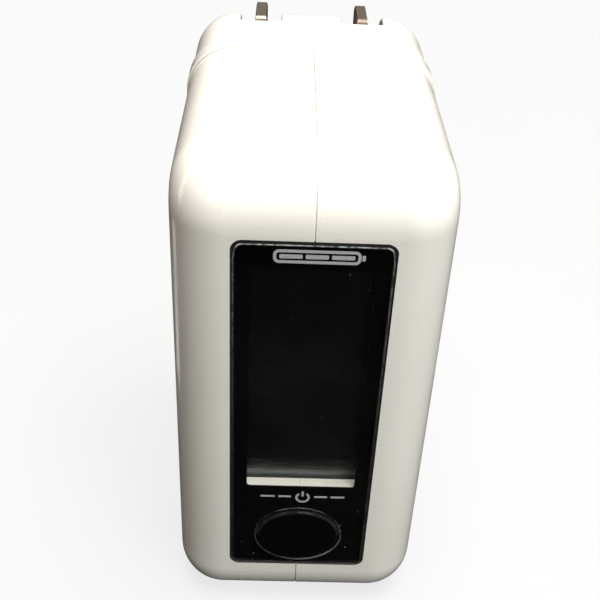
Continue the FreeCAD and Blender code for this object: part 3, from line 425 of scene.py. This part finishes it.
def circuit_board():
    """Green lacquered laminate with darker tracks and a faint glass weave."""
    s = Shader("circuit_board")
    upright = s.node("ShaderNodeMapping", {"Vector": s.place, "Rotation": (math.pi / 2, 0.0, 0.0)})
    grid = {"Scale": 1.0, "Brick Width": 3.1 * MM, "Row Height": 0.9 * MM, "Mortar Size": 0.09 * MM}
    bricks = s.node("ShaderNodeTexBrick", {"Vector": upright.outputs[0], **grid}, offset=0.37)
    tracks = bricks.outputs["Fac"]
    lacquer = s.blend(s.noise(3 * MM, 3.0), (0.012, 0.10, 0.035), (0.018, 0.13, 0.048))
    s.set(base_color=s.blend(tracks, lacquer, (0.006, 0.055, 0.022)))
    s.set(roughness=s.ramp(s.noise(1.4 * MM, 3.0), 0.3, 0.7, 0.22, 0.36))
    weave = s.times(s.bands(0.06 * MM, "X"), s.bands(0.06 * MM, "Z"))
    s.set(normal=s.bump(s.add(weave, tracks), 0.010 * MM))
    return s.material


def pouch_foil():
    """Satin cell pouch, softly dimpled and creased."""
    s = Shader("pouch_foil")
    creases = s.noise(5 * MM, 5.0, (1.0, 1.0, 0.6), 0.6)
    s.set(base_color=s.blend(creases, (0.62, 0.63, 0.65), (0.50, 0.51, 0.53)), metallic=1.0)
    s.set(roughness=s.ramp(s.noise(0.5 * MM, 3.0), 0.3, 0.7, 0.24, 0.38))
    s.set(normal=s.bump(creases, 0.12 * MM))
    return s.material


def wound_tape():
    """Yellow transformer tape with its lapped edges."""
    s = Shader("wound_tape")
    laps = s.ramp(s.bands(0.32 * MM, "X"), 0.42, 0.5)
    s.set(base_color=s.blend(laps, (0.66, 0.42, 0.045), (0.52, 0.31, 0.03)))
    s.set(roughness=s.ramp(s.noise(1.2 * MM, 3.0), 0.3, 0.7, 0.28, 0.42))
    s.set(normal=s.bump(s.add(laps, s.noise(1.5 * MM, 2.0)), 0.03 * MM))
    return s.material


def foam():
    """Dark open-cell foam."""
    s = Shader("foam")
    pores = s.cells(0.45 * MM)
    s.set(base_color=s.blend(s.ramp(pores, 0.1, 0.6), (0.008, 0.008, 0.008), (0.045, 0.045, 0.046)))
    s.set(roughness=0.9, normal=s.bump(pores, 0.12 * MM))
    return s.material


def wire_cover(name, colour):
    """Slightly uneven wire insulation."""
    s = Shader(name)
    wavy = s.noise(0.9 * MM, 3.0)
    s.set(base_color=s.blend(wavy, colour, tuple(0.7 * c for c in colour)))
    s.set(roughness=s.ramp(wavy, 0.3, 0.7, 0.32, 0.5), normal=s.bump(wavy, 0.01 * MM))
    return s.material


def paint(material, *nodes):
    """Gives CAD nodes a material, in their own material slots."""
    for node in nodes:
        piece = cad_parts[node]
        if not piece.material_slots:
            piece.data.materials.append(material)
        for slot in piece.material_slots:
            slot.material = material


def paint_everything():
    paint(shell_plastic(), "left_shell", "right_shell", "rear_cover")
    paint(clear_acrylic(), "window_panel")
    paint(printed_black(), "window_mask")
    paint(button_plastic(), "power_button")
    # the second colour of each display glass is painted light from the sill, brighter on the shaded ledge
    paint(display_glass("display_glass", (0.105, 0.11, 0.10)), "display_front_glass")
    paint(display_glass("display_ledge", (0.20, 0.20, 0.185)), "display_rear_glass")
    paint(blade_metal(), "left_blade", "right_blade")
    paint(pivot_plastic(), "plug_pivot")
    moulded = speckled("moulded_black", (0.016, 0.016, 0.017), (0.03, 0.03, 0.031), 0.5)
    paint(moulded, "display_frame", "plug_retainer", "transformer_bobbin", "usb_tongue", "switch_plunger")
    package = speckled("chip_package", (0.014, 0.014, 0.015), (0.05, 0.05, 0.05), 0.62, 0.12)
    paint(package, "control_chip", "boost_chip", "power_chip", "protection_chips", "bridge_rectifier")
    paint(package, "isolator_chip", "switch_body", "chip_resistors")
    paint(speckled("diffuser", (0.80, 0.81, 0.78), (0.88, 0.88, 0.86), 0.42), "display_backlight")
    paint(speckled("ribbed_rubber", (0.06, 0.06, 0.063), (0.12, 0.12, 0.12), 0.75), "display_connector")
    paint(speckled("ferrite", (0.035, 0.035, 0.038), (0.08, 0.08, 0.085), 0.55, 0.18), "transformer_core")
    paint(speckled("choke", (0.03, 0.03, 0.032), (0.09, 0.09, 0.09), 0.5, 0.15), "boost_inductor")
    paint(speckled("fired_tan", (0.36, 0.24, 0.13), (0.46, 0.33, 0.20), 0.55, 0.1), "chip_capacitors")
    paint(speckled("disc_blue", (0.015, 0.06, 0.26), (0.03, 0.11, 0.36), 0.35, 0.5), "safety_capacitor")
    paint(speckled("fuse_grey", (0.10, 0.15, 0.13), (0.18, 0.23, 0.20), 0.5, 0.4), "fuse_resistor")
    paint(speckled("pressed_paper", (0.40, 0.37, 0.29), (0.50, 0.47, 0.38), 0.8, 0.5), "insulation_sheet")
    paint(speckled("amber_film", (0.55, 0.22, 0.02), (0.62, 0.28, 0.04), 0.3, 1.0), "cell_tape")
    paint(circuit_board(), "control_board", "power_board", "protection_board")
    paint(pouch_foil(), "front_cell", "rear_cell")
    paint(wound_tape(), "transformer_coil")
    paint(foam(), "foam_pads")
    paint(wire_cover("wire_red", (0.42, 0.012, 0.012)), "battery_lead_red")
    paint(wire_cover("wire_black", (0.015, 0.015, 0.015)), "battery_lead_black")
    paint(wire_cover("wire_white", (0.66, 0.65, 0.61)), "board_harness", "mains_leads")
    upright, across = (1.0, 1.0, 0.08), (0.08, 1.0, 1.0)
    zinc = metal("zinc_steel", (0.60, 0.61, 0.62), (0.42, 0.42, 0.42), 0.32, (1.0, 1.0, 1.0), 0.3)
    paint(zinc, "case_screws", "control_board_screws", "power_board_screws", "retainer_screws")
    tinned = metal("tinned_plate", (0.64, 0.63, 0.61), (0.48, 0.47, 0.44), 0.26, upright)
    paint(tinned, "usb_shell", "chip_pins", "switch_terminals", "cell_tabs", "switch_cover")
    cans = metal("drawn_can", (0.66, 0.67, 0.68), (0.55, 0.56, 0.57), 0.28, (1.0, 0.08, 1.0))
    paint(cans, "input_capacitors", "output_capacitor")
    brass = metal("contact_brass", (0.78, 0.56, 0.22), (0.62, 0.43, 0.18), 0.24, upright)
    paint(brass, "usb_contacts", "plug_contacts")
    paint(metal("spring_steel", (0.55, 0.55, 0.56), (0.42, 0.42, 0.43), 0.25, across), "detent_spring")


# ---------------------------------------------------------------- printed marks on the window
INK_T = 0.02 * MM
PRINT_SHIFT = 0.3 * MM  # the marks sit a little right of the middle
CHARGE_DROP = 0.85 * MM  # from the top of the panel down to the top of the charge mark
STANDBY_RISE = 11.75 * MM  # from the foot of the panel up to the middle of the stand-by mark


class Marks:
    """Flat inked shapes drawn in X and Z, given the thickness of ink when they become a piece."""

    def __init__(self):
        self.mesh = bmesh.new()

    def fill(self, outline):
        """Solid shape inside an outline."""
        self.mesh.faces.new([self.mesh.verts.new((x, 0.0, z)) for x, z in outline])

    def line(self, path, width, closed=False):
        """Stroke of one width along a path, mitred at its corners."""
        count = len(path)
        rows = []
        for i, point in enumerate(path):
            here = Vector(point)
            along = []
            if closed or i:
                along.append((here - Vector(path[i - 1])).normalized())
            if closed or i < count - 1:
                along.append((Vector(path[(i + 1) % count]) - here).normalized())
            mean = sum(along, Vector((0, 0))).normalized()
            side = Vector((-mean.y, mean.x)) * (width / 2 / max(mean.dot(along[0]), 0.3))
            rows.append([self.mesh.verts.new((p.x, 0.0, p.y)) for p in (here + side, here - side)])
        if closed:
            rows.append(rows[0])
        for (a, b), (c, d) in zip(rows, rows[1:]):
            self.mesh.faces.new((a, b, d, c))

    def piece(self, name, material, y):
        """Turns the shapes into one piece that rides on the case."""
        bmesh.ops.recalc_face_normals(self.mesh, faces=self.mesh.faces)
        data = bpy.data.meshes.new(name)
        self.mesh.to_mesh(data)
        self.mesh.free()
        data.materials.append(material)
        made = bpy.data.objects.new(name, data)
        bpy.context.scene.collection.objects.link(made)
        made.location.y = y
        solid = made.modifiers.new("thickness", "SOLIDIFY")
        solid.thickness = INK_T
        solid.offset = 0.0
        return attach(made, "case")


def arc(cx, cz, r, start, end, steps=10):
    """Points along a circular arc, angles in degrees from +X towards +Z."""
    angles = [math.radians(start + (end - start) * i / steps) for i in range(steps + 1)]
    return [(cx + r * math.cos(a), cz + r * math.sin(a)) for a in angles]


def round_rect(x0, x1, z0, z1, r):
    """Outline of a rectangle with corners of radius r, clockwise from its top right."""
    return (
        arc(x1 - r, z1 - r, r, 90, 0, 5)
        + arc(x1 - r, z0 + r, r, 0, -90, 5)
        + arc(x0 + r, z0 + r, r, -90, -180, 5)
        + arc(x0 + r, z1 - r, r, 180, 90, 5)
    )


def charge_mark(material, y, top):
    """Battery outline with three bars, in place of the label above the display."""
    half, height, stroke = 4.3 * MM, 1.55 * MM, 0.32 * MM
    z0, z1 = top - height, top
    x0, x1 = PRINT_SHIFT - half, PRINT_SHIFT + half
    marks = Marks()
    inset = stroke / 2
    marks.line(round_rect(x0 + inset, x1 - inset, z0 + inset, z1 - inset, 0.42 * MM), stroke, closed=True)
    marks.fill(round_rect(x1 + 0.10 * MM, x1 + 0.42 * MM, z0 + 0.45 * MM, z1 - 0.45 * MM, 0.1 * MM))
    gap = 0.28 * MM
    bar = (2 * (half - stroke) - 4 * gap) / 3
    for i in range(3):
        left = x0 + stroke + gap + i * (bar + gap)
        marks.fill(round_rect(left, left + bar, z0 + stroke + gap * 0.8, z1 - stroke - gap * 0.8, 0.1 * MM))
    return marks.piece("charge_mark", material, y)


def standby_mark(material, y, middle):
    """Stand-by symbol between dashes, in place of the label above the button."""
    stroke, r = 0.26 * MM, 0.72 * MM
    marks = Marks()
    marks.line(arc(PRINT_SHIFT, middle - 0.12 * MM, r, 128, 412, 28), stroke)
    marks.line([(PRINT_SHIFT, middle + 0.05 * MM), (PRINT_SHIFT, middle + 0.85 * MM)], stroke)
    for side in (-1, 1):
        for near, far in ((1.35 * MM, 2.85 * MM), (3.25 * MM, 4.90 * MM)):
            ends = [PRINT_SHIFT + side * near, PRINT_SHIFT + side * far]
            marks.line([(ends[0], middle), (ends[1], middle)], stroke)
    return marks.piece("standby_mark", material, y)


def print_marks():
    """Both marks, lying on the front face of the clear panel."""
    material = ink()
    low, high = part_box("window_panel")
    y = low.y - INK_T / 2
    charge_mark(material, y, high.z - CHARGE_DROP)
    standby_mark(material, y, low.z + STANDBY_RISE)


# ---------------------------------------------------------------- studio
PALE = 0.96  # brightness of the far floor and the air behind the object, as the camera sees them
NEAR_GLOW = 0.76  # brightness of the floor close to the object, before the light that falls on it
FLOOR_HALF = 3.0  # half the width of the floor
CAMERA_TURN = (2.089, 35.15, 2.924)  # yaw, downward pitch and roll, in degrees
CAMERA_AT = (-4.06 * MM, -79.18 * MM, 102.65 * MM)  # from the foot of the case's front, in its middle
LENS = 58.17  # focal length in mm on a sensor 36 mm wide


def floor():
    """Large pale floor with a faint paper grain. It throws little light back, so that gloss stays deep."""
    s = Shader("floor_paper")
    paper = s.blend(s.noise(30 * MM, 3.0), (0.110, 0.110, 0.110), (0.100, 0.100, 0.100))
    away = s.node("ShaderNodeVectorMath", {0: s.place}, operation="LENGTH").outputs["Value"]
    backdrop = s.ramp(away, 0.08, 0.22)
    seen = s.node("ShaderNodeLightPath").outputs["Is Camera Ray"]
    s.set(base_color=s.blend(seen, (0.008, 0.0075, 0.007), s.blend(backdrop, paper, (0.0, 0.0, 0.0))))
    s.set(roughness=0.9, normal=s.bump(s.noise(0.6 * MM, 2.0), 0.01 * MM))
    s.set(emission_color=(1.0, 1.0, 1.0))
    s.set(emission_strength=s.times(seen, s.ramp(backdrop, 0.0, 1.0, NEAR_GLOW, PALE)))
    s.set(specular_ior_level=0.0)
    data = bpy.data.meshes.new("floor")
    around = ((-1, -1), (1, -1), (1, 1), (-1, 1))
    data.from_pydata([(FLOOR_HALF * x, FLOOR_HALF * y, 0) for x, y in around], [], [(0, 1, 2, 3)])
    data.materials.append(s.material)
    made = bpy.data.objects.new("floor", data)
    bpy.context.scene.collection.objects.link(made)
    made.location.z = cad_low.z


def softbox(name, place, size, power, colour, mirrored=True, diffuse=True):
    """Rectangular light aimed at the middle of the object. mirrored is whether gloss shows it, and diffuse
    whether it lights matte surfaces."""
    data = bpy.data.lights.new(name, "AREA")
    data.shape = "RECTANGLE"
    data.size, data.size_y = size
    data.energy, data.color = power, colour
    made = bpy.data.objects.new(name, data)
    made.location = place
    aim = (cad_low + cad_high) / 2 - made.location
    made.rotation_euler = aim.to_track_quat("-Z", "Y").to_euler()
    made.visible_glossy = mirrored
    made.visible_diffuse = diffuse
    made.visible_camera = False
    bpy.context.scene.collection.objects.link(made)


def lights():
    """Soft light from above, weak fills around, and two strips for the highlights of the left side."""
    softbox("overhead", (0.08, -0.02, 0.60), (0.50, 0.50), 7.8, (1.0, 0.99, 0.97))
    softbox("right_fill", (0.10, -0.16, 0.09), (0.08, 0.16), 0.215, (0.92, 0.97, 1.0), mirrored=False)
    softbox("left_strip", (-0.26, 0.02, 0.12), (0.04, 0.30), 0.13, (1.0, 0.95, 0.88))
    softbox(
        "left_sheet", (-0.048, 0.008, 0.010), (0.013, 0.032), 0.0015, (1.0, 0.98, 0.95), diffuse=False
    )
    softbox("front_fill", (-0.10, -0.50, 0.25), (0.30, 0.30), 0.20, (1.0, 0.92, 0.80), mirrored=False)
    softbox("rear_fill", (0.08, 0.50, 0.06), (0.30, 0.10), 1.3, (1.0, 0.98, 0.95), mirrored=False)


def surroundings():
    """Dim warm air for the light and gloss, shown to the camera as a pale backdrop."""
    world = bpy.data.worlds.new("studio")
    bpy.context.scene.world = world
    world.use_nodes = True
    tree = world.node_tree
    shade = tree.nodes["Background"]
    shade.inputs["Color"].default_value = (1.0, 0.97, 0.93, 1.0)
    shade.inputs["Strength"].default_value = 0.10
    seen = tree.nodes.new("ShaderNodeBackground")
    seen.inputs["Color"].default_value = (1.0, 1.0, 1.0, 1.0)
    seen.inputs["Strength"].default_value = PALE
    pick = tree.nodes.new("ShaderNodeMixShader")
    path = tree.nodes.new("ShaderNodeLightPath")
    tree.links.new(path.outputs["Is Camera Ray"], pick.inputs[0])
    tree.links.new(shade.outputs[0], pick.inputs[1])
    tree.links.new(seen.outputs[0], pick.inputs[2])
    tree.links.new(pick.outputs[0], tree.nodes["World Output"].inputs["Surface"])


def camera():
    """Looks down on the window from in front, with the head turned and tipped slightly."""
    yaw, pitch, roll = (math.radians(a) for a in CAMERA_TURN)
    ahead = Vector((math.sin(yaw) * math.cos(pitch), math.cos(yaw) * math.cos(pitch), -math.sin(pitch)))
    right = Vector((math.cos(yaw), -math.sin(yaw), 0.0))
    up = right.cross(ahead)
    rolled_right = right * math.cos(roll) + up * math.sin(roll)
    rolled_up = up * math.cos(roll) - right * math.sin(roll)
    data = bpy.data.cameras.new("camera")
    data.sensor_width = 36.0
    data.lens = LENS
    data.clip_start, data.clip_end = 0.005, 20.0
    made = bpy.data.objects.new("camera", data)
    bpy.context.scene.collection.objects.link(made)
    turn = Matrix((rolled_right, rolled_up, -ahead)).transposed()
    place = Vector((0.0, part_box("left_shell")[0].y, 0.0)) + Vector(CAMERA_AT)
    made.matrix_world = Matrix.Translation(place) @ turn.to_4x4()
    bpy.context.scene.camera = made


paint_everything()
print_marks()
floor()
lights()
surroundings()
camera()
bpy.context.scene.view_settings.view_transform = "Standard"
